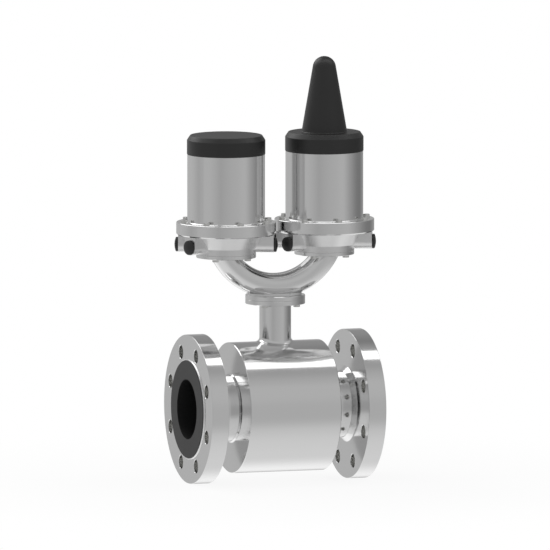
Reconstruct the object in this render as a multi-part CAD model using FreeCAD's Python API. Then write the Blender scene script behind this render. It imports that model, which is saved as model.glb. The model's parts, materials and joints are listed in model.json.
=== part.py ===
import FreeCAD
import Part
import math
import os

# Electromagnetic flow meter, DN 80, with two electronics canisters on a U-shaped manifold.
# Millimetres. Origin at the centre of the measuring pipe, +X with the flow, +Z up.
# Each flange, canister and cap is a turned or cast piece with its own node.

V = FreeCAD.Vector
ORIGIN = V(0, 0, 0)
X_AXIS = V(1, 0, 0)
Y_AXIS = V(0, 1, 0)
Z_AXIS = V(0, 0, 1)

# Clearances
FIT = 0.15            # round pieces that are pressed, bonded or welded together
SEAT = 0.3            # pieces that can be taken apart, and the seat of a cap
EDGE_BREAK = 0.8      # chamfer on turned edges
NOSE = 0.4            # blunt end of a weld fillet

# Measuring pipe and its rubber liner
BORE_D = 80.0
LINER_WALL = 2.3
PIPE_WALL = 2.0
FACE_TO_FACE = 250.0
LIP_T = 3.0
LIP_MARGIN = 5.5      # from the liner lip out to the bolt holes

# Process flanges
BOLT_CIRCLE_D = 160.0
BOLT_HOLE_D = 18.0
BOLT_COUNT = 8
FLANGE_RIM = 20.0     # from the bolt circle out to the edge
FLANGE_T = 24.0
RAISED_RIM = 1.35     # metal rim left round the liner lip
RAISED_H = 2.0
HUB_WELD = 6.0        # leg of the fillet weld behind each flange

# Coil housing
SHELL_D = 175.0
SHELL_WALL = 2.5
SHELL_LENGTH = 128.0  # over both end plates
END_PLATE_T = 4.0
PLATE_WELD = 2.0      # leg of the fillet weld between end plate and pipe

# Neck
NECK_D = 42.4
NECK_WALL = 2.0
SADDLE_FILLET = 6.0
COLLAR_H = 8.5        # drawn collar above the crown of the shell
NECK_LENGTH = 42.5

# Small bolted flanges: one pair on the neck, one under each canister
SMALL_FLANGE_D = 80.0
NECK_PLATE_T = 6.0
FOOT_PLATE_T = 5.0
SMALL_BOLT_CIRCLE_D = 64.0
SMALL_BOLT_COUNT = 4
CABLE_WAY_D = 24.0
SEAL_INSET = 4.8      # from the bore of the neck flange out to its O-ring
SEAL_CORD = 2.4

# M5 hexagon bolts
THREAD_D = 5.0
HEAD_AF = 8.0
HEAD_H = 3.5
HOLE_CLEARANCE = 0.5
TAP_CLEARANCE = 0.2
BOLT_END_GAP = 0.6
FOOT_BOLT_BITE = 6.5
SCREW_BITE = 9.5

# Manifold
ARCH_TUBE_D = 33.7
ARCH_WALL = 2.0
ARCH_SINK = 5.0       # how far the bend is let into the lower flange
ARCH_RISE = 52.1      # from the lower flange up to the end flanges
ARCH_OVERRUN = 3.0    # degrees of bend made past the end flanges before its ends are cut level
ARCH_OFFSET = 1.41    # the bend enters an end flange this far outboard of the canister
WELD = 2.0            # height of the weld between the bend and the lower flange

# Base castings
CANISTER_GAP = 5.4    # between the two rings
RING_LAND = 14.75     # width of the ring outside the canister
RING_T = 14.3
RING_EDGE = 1.5
FOOT_T = 8.4
CONE_H = 17.8
CONE_STEP = 1.0       # foot of the bowl beyond the small flange
CONE_TOP_WALL = 7.0
CASTING_WALL = 5.0
LEDGE = 3.8           # step that the carrier plate rests on
PORT_ANGLE = 21.5     # cable ports, either side of the long axis of the meter
PORT_RISE = 12.4      # port axis above the underside of the casting
PORT_BORE_D = 16.4
PORT_OVERRUN = 1.0    # how far the port is bored past the wall of the bowl
BOSS_WALL = 2.05

# Blanking plugs
PLUG_STEP = 0.5       # rim of the boss left round the plug
PLUG_HEAD_T = 5.3
PLUG_SHANK_L = 11.0
PLUG_EDGE = 1.2
PLUG_GAP = 2.8        # between two plugs that face each other

# Canisters
CANISTER_D = 104.0
CANISTER_WALL = 2.0
CANISTER_LENGTH = 90.9
CANISTER_PLATE_T = 2.5
CANISTER_PLATE_EDGE = 1.2
SCREW_INSET = 7.5     # from the outside of the canister out to the screws
SCREW_COUNT = 8
BASE_SEAL_INSET = 3.6 # from the inside of the canister out to the O-ring

# Threaded collars
COLLAR_STEP = 2.0     # from the inside of the canister in to the thread
COLLAR_WALL = 5.0
COLLAR_SOCKET = 10.0  # length inside the canister tube
COLLAR_NECK_H = 12.5
CAP_SEAL_CORD = 2.0
CAP_SEAL_RISE = 4.0

# Caps
CAP_PROUD = 0.5       # beyond the outside of the canister
CAP_SIDE_H = 18.9
CAP_H = 25.3
CAP_BEVEL = 4.3       # width of the bevel round the top
CAP_TOP_T = 3.5
CAP_SHOULDER = 4.3    # thickening of the wall above the thread
CAP_BORE_H = 16.0

# Antenna dome on the right cap
DOME_BASE_D = 61.0
DOME_H = 101.4
DOME_ANGLE = 9.7
DOME_WALL = 3.0
DOME_FILLET = 1.5

# Electrodes
ELECTRODE_HEAD_D = 10.0
ELECTRODE_HEAD_T = 4.5
ELECTRODE_PIN_D = 5.0
ELECTRODE_END = 8.0   # pin beyond the bush
ELECTRODE_BOSS_D = 22.0
ELECTRODE_BOSS_H = 4.6
BUSH_D = 14.0
BUSH_FLANGE_D = 21.0
BUSH_FLANGE_T = 3.0

# Magnet
COIL_LENGTH = 92.0
COIL_WIDTH = 84.0
COIL_CORNER = 18.0
COIL_WINDING = 20.0
COIL_INNER_GAP = 5.5  # between pipe and coil
COIL_T = 12.0
YOKE_GAP = 4.0        # between coil and yoke
YOKE_T = 3.0
YOKE_WIDTH = 56.0

# Electronics carriers
CARRIER_T = 3.0
CARRIER_GAP = 1.2     # to the inside of the canister
ROOT = 1.0            # how far a post or cup runs into the plate that it is moulded on
CARRIER_HOLE_D = 20.0
BOARD_T = 1.6
MAIN_BOARD_H = 42.0   # board seats above the canister flange
MAIN_BOARD_GAP = 4.0  # to the inside of the canister
MAIN_POST_INSET = 10.0
MAIN_POST_D = 8.0
DISPLAY_RISE = 0.6    # seat of the display board above the canister tube
DISPLAY_BOARD_GAP = 1.5
DISPLAY_POST_INSET = 4.0
DISPLAY_POST_D = 6.4
DISPLAY_L = 62.0
DISPLAY_W = 38.0
DISPLAY_T = 7.5
DISPLAY_FRAME = 5.0
DISPLAY_RECESS = 1.2
DISPLAY_SHIFT = 2.0   # towards the rear, to leave room for the buttons
BUTTON_L = 7.0
BUTTON_W = 6.0
BUTTON_H = 4.0
BUTTON_GAP = 4.0      # between the buttons and the display
TERMINAL_L = 56.0
TERMINAL_W = 15.0
TERMINAL_H = 14.0
TERMINAL_WAYS = 7
TERMINAL_HOLE_D = 4.2
TERMINAL_WAY_H = 8.4
TERMINAL_WAY_DEPTH = 10.5
TERMINAL_SCREW_DEPTH = 3.5

# Components on the boards: length, width, height, and place of the middle
TRANSFORMER = (24.0, 20.0, 17.0, -14.0, -12.0)
RELAY = (16.0, 10.0, 12.0, 14.0, -16.0)
PROCESSOR = (18.0, 18.0, 2.2, 8.0, 12.0)
RADIO_MODULE = (30.0, 22.0, 3.0, 0.0, 22.0)
CARD_HOLDER = (26.0, 18.0, 2.0, -4.0, -22.0)
# Upright capacitors: diameter, height, and place
CAPACITORS = ((10.0, 14.0, -20.0, 10.0), (10.0, 14.0, -8.0, 14.0))
MODEM_CAPACITOR = (10.0, 8.0, 24.0, -8.0)

# Battery pack and modem
CELL_D = 34.2
CELL_H = 61.5
CELL_GAP = 1.72       # between two cells
CELL_NIPPLE_D = 9.0
CELL_NIPPLE_H = 1.5
CUP_WALL = 1.6
CUP_H = 8.0
POST_D = 12.0
CLAMP_T = 3.0
CLAMP_D = 86.0
MODEM_STAND_H = 9.0
MODEM_STAND_D = 7.0
MODEM_STAND_CIRCLE_D = 60.0
MODEM_BOARD_D = 80.0
ROD_D = 10.0
ROD_FOOT_D = 16.0
ROD_FOOT_H = 8.0
ROD_TIP_GAP = 17.0    # below the inside of the dome

# Radii and levels that follow from the sizes above
bore_r = BORE_D / 2
liner_r = bore_r + LINER_WALL
pipe_inner_r = liner_r + FIT
pipe_r = pipe_inner_r + PIPE_WALL
half_face = FACE_TO_FACE / 2
lip_r = (BOLT_CIRCLE_D - BOLT_HOLE_D) / 2 - LIP_MARGIN
flange_r = BOLT_CIRCLE_D / 2 + FLANGE_RIM
raised_r = lip_r + FIT + RAISED_RIM
flange_back = half_face - RAISED_H - FLANGE_T
shell_r = SHELL_D / 2
shell_inner_r = shell_r - SHELL_WALL
shell_half = SHELL_LENGTH / 2 - END_PLATE_T
neck_r = NECK_D / 2
neck_inner_r = neck_r - NECK_WALL
ring_seal_d = 2 * (neck_inner_r + SEAL_INSET)
collar_z = shell_r + COLLAR_H
neck_flange_z = collar_z + NECK_LENGTH
manifold_flange_z = neck_flange_z + NECK_PLATE_T
manifold_top_z = manifold_flange_z + NECK_PLATE_T
foot_plate_z = manifold_top_z + ARCH_RISE
foot_z = foot_plate_z + FOOT_PLATE_T
cone_z = foot_z + FOOT_T
ring_z = cone_z + CONE_H
plate_z = ring_z + RING_T
tube_z = plate_z + CANISTER_PLATE_T
tube_top_z = tube_z + CANISTER_LENGTH
cap_z = tube_top_z + SEAT
small_flange_r = SMALL_FLANGE_D / 2
cable_way_r = CABLE_WAY_D / 2
arch_tube_r = ARCH_TUBE_D / 2
canister_r = CANISTER_D / 2
canister_inner_r = canister_r - CANISTER_WALL
ring_r = canister_r + RING_LAND
canister_x = ring_r + CANISTER_GAP / 2
screw_circle_r = canister_r + SCREW_INSET
base_seal_d = 2 * (canister_inner_r + BASE_SEAL_INSET)
collar_neck_r = canister_inner_r - COLLAR_STEP
collar_bore_r = collar_neck_r - COLLAR_WALL
cap_r = canister_r + CAP_PROUD
carrier_r = canister_inner_r - CARRIER_GAP
carrier_z = plate_z - CARRIER_T
main_board_r = canister_inner_r - MAIN_BOARD_GAP
main_board_z = plate_z + MAIN_BOARD_H
main_post_circle_r = main_board_r - MAIN_POST_INSET
display_board_r = collar_bore_r - DISPLAY_BOARD_GAP
display_board_z = tube_top_z + DISPLAY_RISE
display_post_circle_r = display_board_r - DISPLAY_POST_INSET
ledge_r = carrier_r - LEDGE
cone_low_r = small_flange_r + CONE_STEP
cone_top_r = ledge_r + CONE_TOP_WALL
port_z = foot_z + PORT_RISE
port_inner_r = cone_low_r - CASTING_WALL - PORT_OVERRUN
boss_inner_r = port_inner_r - CASTING_WALL
boss_r = PORT_BORE_D / 2 + BOSS_WALL
plug_head_r = boss_r - PLUG_STEP
tip_sine = math.sin(math.radians(PORT_ANGLE))
tip_cosine = math.cos(math.radians(PORT_ANGLE))
plug_tip_r = (canister_x - PLUG_GAP / 2 - plug_head_r * tip_sine) / tip_cosine
boss_face_r = plug_tip_r - PLUG_HEAD_T
coil_inner_r = pipe_r + COIL_INNER_GAP
coil_outer_r = coil_inner_r + COIL_T
yoke_inner_r = coil_outer_r + YOKE_GAP
cell_circle_r = (CELL_D + CELL_GAP) / math.sqrt(2)
modem_z = plate_z + CELL_H + CLAMP_T + MODEM_STAND_H

# The bend passes through the middle of each end flange, a little outboard of the canister axis
arch_half_span = canister_x + ARCH_OFFSET
arch_depth = ARCH_RISE + ARCH_SINK - arch_tube_r
arch_r = (arch_half_span ** 2 + arch_depth ** 2) / (2 * arch_depth)
arch_z = manifold_top_z - ARCH_SINK + arch_tube_r + arch_r


# Shared shapes

def profile(points):
    """Closed face in the XZ plane. A point is (radius, height), and four numbers are the
    middle of an arc followed by its end."""
    edges = []
    last = V(points[0][0], 0, points[0][1])
    for point in points[1:] + points[:1]:
        end = V(point[-2], 0, point[-1])
        if len(point) == 4:
            edges.append(Part.Arc(last, V(point[0], 0, point[1]), end).toShape())
        elif last.distanceToPoint(end) > 1e-6:
            edges.append(Part.LineSegment(last, end).toShape())
        last = end
    return Part.Face(Part.Wire(edges))


def turned(points):
    """Solid of revolution about Z."""
    return Part.Solid(profile(points).revolve(ORIGIN, Z_AXIS, 360))


def along_x(shape):
    """Lays a shape made about Z along the flow, its top towards the outlet."""
    return shape.rotated(ORIGIN, Y_AXIS, 90)


def cylinder(radius, length, at=ORIGIN, axis=Z_AXIS):
    return Part.makeCylinder(radius, length, at, axis)


def ring(inner, outer, low, high):
    """Plain washer shape about Z."""
    return turned([(inner, low), (outer, low), (outer, high), (inner, high)])


def around(count, radius, start, level=0.0):
    """Evenly spaced places on a circle."""
    places = []
    for i in range(count):
        angle = math.radians(start + 360 * i / count)
        places.append(V(radius * math.cos(angle), radius * math.sin(angle), level))
    return places


def drill(shape, places, diameter, depth, axis=Z_AXIS):
    tools = [cylinder(diameter / 2, depth, place, axis) for place in places]
    return shape.cut(Part.makeCompound(tools))


def rims(shape, radius, height):
    """Circular edges about Z of a given radius and level."""
    found = []
    for edge in shape.Edges:
        if edge.Degenerated or not isinstance(edge.Curve, Part.Circle):
            continue
        curve = edge.Curve
        middle = curve.Center
        level = abs(middle.z - height) < 1e-4
        if level and abs(curve.Radius - radius) < 1e-4 and math.hypot(middle.x, middle.y) < 1e-4:
            found.append(edge)
    return found


def box(length, width, height, low_middle):
    """Block centred in X and Y on a point of its underside."""
    corner = low_middle - V(length / 2, width / 2, 0)
    return Part.makeBox(length, width, height, corner)


def rounded_prism(length, width, corner, low, high):
    """Upright block with rounded corners, centred on Z."""
    block = box(length, width, high - low, V(0, 0, low))
    upright = [e for e in block.Edges if abs(e.Vertexes[0].Z - e.Vertexes[-1].Z) > 1e-3]
    return block.makeFillet(corner, upright)


def hex_bolt(grip):
    """M5 hexagon bolt, the underside of its head at the origin and its shank up +Z."""
    corner = HEAD_AF / math.sqrt(3)
    corners = [V(p.x, p.y, -HEAD_H) for p in around(6, corner, 0)]
    head = Part.Face(Part.makePolygon(corners + corners[:1])).extrude(V(0, 0, HEAD_H))
    slope = (corner - HEAD_AF / 2) * math.tan(math.radians(30))
    envelope = turned([
        (0, -HEAD_H), (HEAD_AF / 2, -HEAD_H), (corner, slope - HEAD_H), (corner, 0), (0, 0)])
    thread_r = THREAD_D / 2
    shank = turned([(0, 0), (thread_r, 0), (thread_r, grip - NOSE), (thread_r - NOSE, grip), (0, grip)])
    return head.common(envelope).fuse(shank).removeSplitter()


def o_ring(diameter, cord, level):
    return Part.makeTorus(diameter / 2, cord / 2, V(0, 0, level))


def seal_groove(diameter, cord, face, side):
    """Groove cutter for an O-ring in a flat face: side is -1 below the face, +1 above it."""
    half = cord / 2 + FIT
    low = min(face, face + side * (cord + FIT))
    return ring(diameter / 2 - half, diameter / 2 + half, low, low + cord + FIT)


def at_canister(shape, side):
    return shape.translated(V(side * canister_x, 0, 0))


# Measuring pipe

def measuring_pipe():
    """Pipe with two welded electrode bosses, its ends flush with the lip recesses."""
    half = half_face - LIP_T
    pipe = along_x(cylinder(pipe_r, 2 * half, V(0, 0, -half)))
    boss_end = pipe_r + ELECTRODE_BOSS_H
    bosses = cylinder(ELECTRODE_BOSS_D / 2, 2 * boss_end, V(0, -boss_end, 0), Y_AXIS)
    body = pipe.fuse(bosses).removeSplitter()
    body = body.cut(along_x(cylinder(pipe_inner_r, 2 * half, V(0, 0, -half))))
    return drill(body, [V(0, -boss_end, 0)], BUSH_D + 2 * FIT, 2 * boss_end, Y_AXIS)


def rubber_liner():
    half = half_face
    sleeve = turned([
        (bore_r, -half), (lip_r, -half), (lip_r, LIP_T - half), (liner_r, LIP_T - half),
        (liner_r, half - LIP_T), (lip_r, half - LIP_T), (lip_r, half), (bore_r, half)])
    return drill(along_x(sleeve), [V(0, -lip_r, 0)], ELECTRODE_HEAD_D + 2 * FIT, 2 * lip_r, Y_AXIS)


def process_flange():
    """Flange about Z with its back face at height 0: raised rim, recess for the liner lip
    and a ground fillet weld on the pipe."""
    hole_r = pipe_r + FIT
    weld_r = hole_r + NOSE
    face = FLANGE_T + RAISED_H
    disc = turned([
        (hole_r, -HUB_WELD), (weld_r, -HUB_WELD), (weld_r + HUB_WELD, 0),
        (flange_r - EDGE_BREAK, 0), (flange_r, EDGE_BREAK),
        (flange_r, FLANGE_T - EDGE_BREAK), (flange_r - EDGE_BREAK, FLANGE_T),
        (raised_r, FLANGE_T), (raised_r, face), (lip_r + FIT, face),
        (lip_r + FIT, face - LIP_T), (hole_r, face - LIP_T)])
    holes = around(BOLT_COUNT, BOLT_CIRCLE_D / 2, 180 / BOLT_COUNT)
    return drill(disc, holes, BOLT_HOLE_D, FLANGE_T)


def outlet_flange():
    return along_x(process_flange().translated(V(0, 0, flange_back)))


def inlet_flange():
    return outlet_flange().rotated(ORIGIN, Z_AXIS, 180)


# Electrodes, along Y

def electrode():
    """Pin whose round head lies in the liner, cut flush with the bore."""
    head_r = ELECTRODE_HEAD_D / 2
    pin_r = ELECTRODE_PIN_D / 2
    head_low = bore_r - head_r ** 2 / bore_r
    head_top = bore_r + ELECTRODE_HEAD_T
    end = pipe_r + ELECTRODE_BOSS_H + BUSH_FLANGE_T + ELECTRODE_END
    pin = turned([
        (0, head_low), (head_r, head_low), (head_r, head_top), (pin_r, head_top),
        (pin_r, end - NOSE), (pin_r - NOSE, end), (0, end)])
    pin = pin.rotated(ORIGIN, X_AXIS, 90)
    return pin.cut(cylinder(bore_r, BORE_D, V(-bore_r, 0, 0), X_AXIS))


def electrode_bush():
    """Insulating bush in the boss of the pipe, with a pocket for the electrode's head."""
    boss_face = pipe_r + ELECTRODE_BOSS_H
    low = liner_r + FIT
    pocket = bore_r + ELECTRODE_HEAD_T + FIT
    head_r = ELECTRODE_HEAD_D / 2 + FIT
    pin_r = ELECTRODE_PIN_D / 2 + FIT
    bush = turned([
        (head_r, low), (BUSH_D / 2, low), (BUSH_D / 2, boss_face), (BUSH_FLANGE_D / 2, boss_face),
        (BUSH_FLANGE_D / 2, boss_face + BUSH_FLANGE_T), (pin_r, boss_face + BUSH_FLANGE_T),
        (pin_r, pocket), (head_r, pocket)])
    return bush.rotated(ORIGIN, X_AXIS, 90)


def electrode_nut():
    low = pipe_r + ELECTRODE_BOSS_H + BUSH_FLANGE_T
    corners = [V(p.x, p.y, low) for p in around(6, HEAD_AF / math.sqrt(3), 0)]
    nut = Part.Face(Part.makePolygon(corners + corners[:1])).extrude(V(0, 0, HEAD_H))
    nut = drill(nut, [V(0, 0, low)], ELECTRODE_PIN_D + TAP_CLEARANCE, HEAD_H)
    return nut.rotated(ORIGIN, X_AXIS, 90)


# Magnet

def coil():
    """Saddle coil: an upright rounded frame cut to the space between two cylinders."""
    top = coil_outer_r
    window_l = COIL_LENGTH - 2 * COIL_WINDING
    window_w = COIL_WIDTH - 2 * COIL_WINDING
    frame = rounded_prism(COIL_LENGTH, COIL_WIDTH, COIL_CORNER, 0, top)
    frame = frame.cut(rounded_prism(window_l, window_w, COIL_CORNER / 3, 0, top))
    frame = frame.common(along_x(cylinder(coil_outer_r, COIL_LENGTH, V(0, 0, -COIL_LENGTH / 2))))
    return frame.cut(along_x(cylinder(coil_inner_r, COIL_LENGTH, V(0, 0, -COIL_LENGTH / 2))))


def magnet_yoke():
    """Steel band round both coils, with a pole through each coil down to the pipe."""
    outer = yoke_inner_r + YOKE_T
    half = YOKE_WIDTH / 2
    band = along_x(cylinder(outer, YOKE_WIDTH, V(0, 0, -half)))
    band = band.cut(along_x(cylinder(yoke_inner_r, YOKE_WIDTH, V(0, 0, -half))))
    pole_l = COIL_LENGTH - 2 * COIL_WINDING - 2 * SEAT
    pole_w = COIL_WIDTH - 2 * COIL_WINDING - 2 * SEAT
    middle_r = (yoke_inner_r + outer) / 2
    poles = rounded_prism(pole_l, pole_w, COIL_CORNER / 3 - SEAT, -outer, outer)
    poles = poles.common(along_x(cylinder(middle_r, YOKE_WIDTH, V(0, 0, -half))))
    poles = poles.cut(along_x(cylinder(pipe_r + SEAT, YOKE_WIDTH, V(0, 0, -half))))
    return band.fuse(poles).removeSplitter()


# Coil housing

def sensor_shell():
    """Rolled shell with a collar drawn up for the neck."""
    body = along_x(cylinder(shell_r, 2 * shell_half, V(0, 0, -shell_half)))
    body = body.fuse(cylinder(neck_r, collar_z)).removeSplitter()
    saddle = []
    for edge in body.Edges:
        bounds = edge.BoundBox
        inside = max(abs(bounds.XMin), abs(bounds.XMax)) < neck_r + 1
        if inside and bounds.ZMax < collar_z - 1 and bounds.ZMin > shell_r / 2 and bounds.XLength > 1:
            saddle.append(edge)
    body = body.makeFillet(SADDLE_FILLET, saddle)
    body = body.cut(along_x(cylinder(shell_inner_r, 2 * shell_half, V(0, 0, -shell_half))))
    return body.cut(cylinder(neck_inner_r, collar_z))


def outlet_end_plate():
    """Disc that closes the shell, with a small fillet weld on the pipe."""
    hole_r = pipe_r + FIT
    weld_r = hole_r + NOSE
    plate = turned([
        (hole_r, 0), (shell_r, 0), (shell_r, END_PLATE_T - EDGE_BREAK),
        (shell_r - EDGE_BREAK, END_PLATE_T), (weld_r + PLATE_WELD, END_PLATE_T),
        (weld_r, END_PLATE_T + PLATE_WELD), (hole_r, END_PLATE_T + PLATE_WELD)])
    return along_x(plate.translated(V(0, 0, shell_half)))


def inlet_end_plate():
    return outlet_end_plate().rotated(ORIGIN, Z_AXIS, 180)


# Neck and small flanges

def neck_tube():
    return ring(neck_inner_r, neck_r, collar_z, neck_flange_z)


def small_plate(bore_r_here, low, thickness, hole_d):
    """Round plate with four bolt holes and broken edges."""
    high = low + thickness
    edge = NOSE
    plate = turned([
        (bore_r_here, low), (small_flange_r - edge, low), (small_flange_r, low + edge),
        (small_flange_r, high - edge), (small_flange_r - edge, high), (bore_r_here, high)])
    holes = around(SMALL_BOLT_COUNT, SMALL_BOLT_CIRCLE_D / 2, 45, low)
    return drill(plate, holes, hole_d, thickness)


def neck_flange():
    plate = small_plate(neck_inner_r, neck_flange_z, NECK_PLATE_T, THREAD_D + HOLE_CLEARANCE)
    return plate.cut(seal_groove(ring_seal_d, SEAL_CORD, manifold_flange_z, -1))


def neck_seal():
    return o_ring(ring_seal_d, SEAL_CORD, manifold_flange_z - (SEAL_CORD + FIT) / 2)


def bolts_below(level, grip):
    """Four bolts whose heads bear on the underside of a small flange."""
    places = around(SMALL_BOLT_COUNT, SMALL_BOLT_CIRCLE_D / 2, 45, level)
    return [hex_bolt(grip).translated(place) for place in places]


def neck_bolts():
    return Part.makeCompound(bolts_below(neck_flange_z, 2 * NECK_PLATE_T - BOLT_END_GAP))


def foot_bolts():
    bolts = []
    for side in (-1, 1):
        for bolt in bolts_below(foot_plate_z, FOOT_PLATE_T + FOOT_BOLT_BITE):
            bolts.append(at_canister(bolt, side))
    return Part.makeCompound(bolts)


# Manifold

def arch(radius):
    """The bend as a solid rod of a given radius, its ends cut level at the end flanges."""
    reach = math.degrees(math.acos((arch_z - foot_plate_z) / (arch_r + arch_tube_r))) + ARCH_OVERRUN
    section = Part.Face(Part.Wire(Part.makeCircle(radius, V(0, 0, arch_z - arch_r), X_AXIS)))
    section = section.rotated(V(0, 0, arch_z), Y_AXIS, -reach)
    rod = Part.Solid(section.revolve(V(0, 0, arch_z), Y_AXIS, 2 * reach))
    above = box(4 * arch_r, 4 * arch_tube_r, arch_r, V(0, 0, foot_plate_z))
    return rod.cut(above)


def manifold_tube():
    tube = arch(arch_tube_r).cut(arch(arch_tube_r - ARCH_WALL))
    return tube.cut(cylinder(cable_way_r, arch_tube_r, V(0, 0, arch_z - arch_r - arch_tube_r)))


def manifold_flange():
    """Lower flange with a saddle for the bend, and a weld that fills the wedge under it."""
    plate = small_plate(cable_way_r, manifold_flange_z, NECK_PLATE_T, THREAD_D + TAP_CLEARANCE)
    rod = arch(arch_tube_r + FIT)
    outline = rod.slice(Z_AXIS, manifold_top_z + WELD)[0]
    weld = Part.Face(outline).extrude(V(0, 0, -WELD))
    return plate.fuse(weld).removeSplitter().cut(rod)


def foot_flange():
    """End flange of the bend, with the seal groove in its top face."""
    plate = small_plate(cable_way_r, foot_plate_z, FOOT_PLATE_T, THREAD_D + HOLE_CLEARANCE)
    return plate.cut(seal_groove(ring_seal_d, SEAL_CORD, foot_z, -1))


def foot_seal():
    return o_ring(ring_seal_d, SEAL_CORD, foot_z - (SEAL_CORD + FIT) / 2)


# Base castings

def port_directions():
    angles = [PORT_ANGLE, 180 - PORT_ANGLE, 180 + PORT_ANGLE, 360 - PORT_ANGLE]
    return [V(math.cos(math.radians(a)), math.sin(math.radians(a)), 0) for a in angles]


def port_boss(direction):
    """Boss with a round underside and upright flanks that run up into the ring."""
    length = boss_face_r - boss_inner_r
    barrel = cylinder(boss_r, length, direction * boss_inner_r + V(0, 0, port_z), direction)
    flanks = box(length, 2 * boss_r, ring_z + RING_EDGE - port_z, V(boss_inner_r + length / 2, 0, port_z))
    flanks = flanks.rotated(ORIGIN, Z_AXIS, math.degrees(math.atan2(direction.y, direction.x)))
    return barrel.fuse(flanks).removeSplitter()


def base_casting():
    """Round foot, flared bowl and thick ring in one casting, with a boss for each cable port."""
    body = turned([
        (0, foot_z), (small_flange_r - NOSE, foot_z), (small_flange_r, foot_z + NOSE),
        (small_flange_r, cone_z), (cone_low_r, cone_z), (cone_top_r, ring_z), (ring_r - RING_EDGE, ring_z),
        (ring_r, ring_z + RING_EDGE), (ring_r, plate_z), (0, plate_z)])
    for direction in port_directions():
        body = body.fuse(port_boss(direction))
    body = body.removeSplitter()
    hollow = turned([
        (0, cone_z), (cone_low_r - CASTING_WALL, cone_z), (ledge_r, ring_z), (ledge_r, carrier_z),
        (carrier_r + SEAT, carrier_z), (carrier_r + SEAT, plate_z), (0, plate_z)])
    body = body.cut(hollow)
    body = body.cut(cylinder(cable_way_r, FOOT_T, V(0, 0, foot_z)))
    for direction in port_directions():
        start = direction * port_inner_r + V(0, 0, port_z)
        body = body.cut(cylinder(PORT_BORE_D / 2, boss_face_r - port_inner_r, start, direction))
    body = body.cut(seal_groove(base_seal_d, SEAL_CORD, plate_z, -1))
    foot_holes = around(SMALL_BOLT_COUNT, SMALL_BOLT_CIRCLE_D / 2, 45, foot_z)
    body = drill(body, foot_holes, THREAD_D + TAP_CLEARANCE, FOOT_BOLT_BITE + BOLT_END_GAP)
    depth = SCREW_BITE + BOLT_END_GAP
    ring_holes = around(SCREW_COUNT, screw_circle_r, 0, plate_z - depth)
    return drill(body, ring_holes, THREAD_D + TAP_CLEARANCE, depth)


def base_seal():
    return o_ring(base_seal_d, SEAL_CORD, plate_z - (SEAL_CORD + FIT) / 2)


def blanking_plug(direction):
    """Screwed stopper: round head on the face of the boss and a shank in the port."""
    shank_r = PORT_BORE_D / 2 - FIT
    plug = turned([
        (0, -PLUG_SHANK_L), (shank_r - NOSE, -PLUG_SHANK_L), (shank_r, NOSE - PLUG_SHANK_L),
        (shank_r, 0), (plug_head_r, 0), (plug_head_r, PLUG_HEAD_T - PLUG_EDGE),
        (plug_head_r - PLUG_EDGE, PLUG_HEAD_T), (0, PLUG_HEAD_T)])
    place = direction * boss_face_r + V(0, 0, port_z)
    return plug.rotated(ORIGIN, V(0, 0, 1).cross(direction), 90).translated(place)


# Canisters

def canister_flange():
    plate = ring(canister_inner_r, ring_r, plate_z, tube_z)
    holes = around(SCREW_COUNT, screw_circle_r, 0, plate_z)
    plate = plate.makeChamfer(CANISTER_PLATE_EDGE, rims(plate, ring_r, tube_z))
    return drill(plate, holes, THREAD_D + HOLE_CLEARANCE, CANISTER_PLATE_T)


def canister_tube():
    return ring(canister_inner_r, canister_r, tube_z, tube_top_z)


def canister_screws():
    screws = []
    for side in (-1, 1):
        for place in around(SCREW_COUNT, screw_circle_r, 0, tube_z):
            screw = hex_bolt(CANISTER_PLATE_T + SCREW_BITE).rotated(ORIGIN, X_AXIS, 180)
            screws.append(at_canister(screw.translated(place), side))
    return Part.makeCompound(screws)


def threaded_collar():
    """Turned collar welded into the top of the tube: the neck carries the cap and its seal."""
    groove_r = collar_neck_r - CAP_SEAL_CORD - FIT
    groove_low = tube_top_z + CAP_SEAL_RISE - CAP_SEAL_CORD / 2 - FIT
    groove_top = groove_low + CAP_SEAL_CORD + 2 * FIT
    neck_top = tube_top_z + COLLAR_NECK_H
    socket_r = canister_inner_r - FIT
    socket_z = tube_top_z - COLLAR_SOCKET
    return turned([
        (collar_bore_r, socket_z), (socket_r, socket_z), (socket_r, tube_top_z),
        (collar_neck_r, tube_top_z), (collar_neck_r, groove_low), (groove_r, groove_low),
        (groove_r, groove_top), (collar_neck_r, groove_top), (collar_neck_r, neck_top - EDGE_BREAK),
        (collar_neck_r - EDGE_BREAK, neck_top), (collar_bore_r, neck_top)])


def cap_seal():
    centre_d = 2 * collar_neck_r - CAP_SEAL_CORD
    return o_ring(centre_d, CAP_SEAL_CORD, tube_top_z + CAP_SEAL_RISE)


def cap_outside():
    """Outline of a cap from its rim up to the edge of its flat top."""
    return [
        (cap_r, cap_z), (cap_r, cap_z + CAP_SIDE_H), (cap_r - CAP_BEVEL, cap_z + CAP_H)]


def cap_inside():
    """Outline of a cap's bore from the ceiling's edge down to the rim."""
    bore = collar_neck_r + SEAT
    shoulder = bore - CAP_SHOULDER
    ceiling = cap_z + CAP_H - CAP_TOP_T
    return [
        (shoulder, ceiling), (shoulder, cap_z + CAP_BORE_H),
        (bore, cap_z + CAP_BORE_H), (bore, cap_z)]


def display_lid():
    ceiling = cap_z + CAP_H - CAP_TOP_T
    outline = cap_outside() + [(0, cap_z + CAP_H), (0, ceiling)] + cap_inside()
    return turned(outline)


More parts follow.
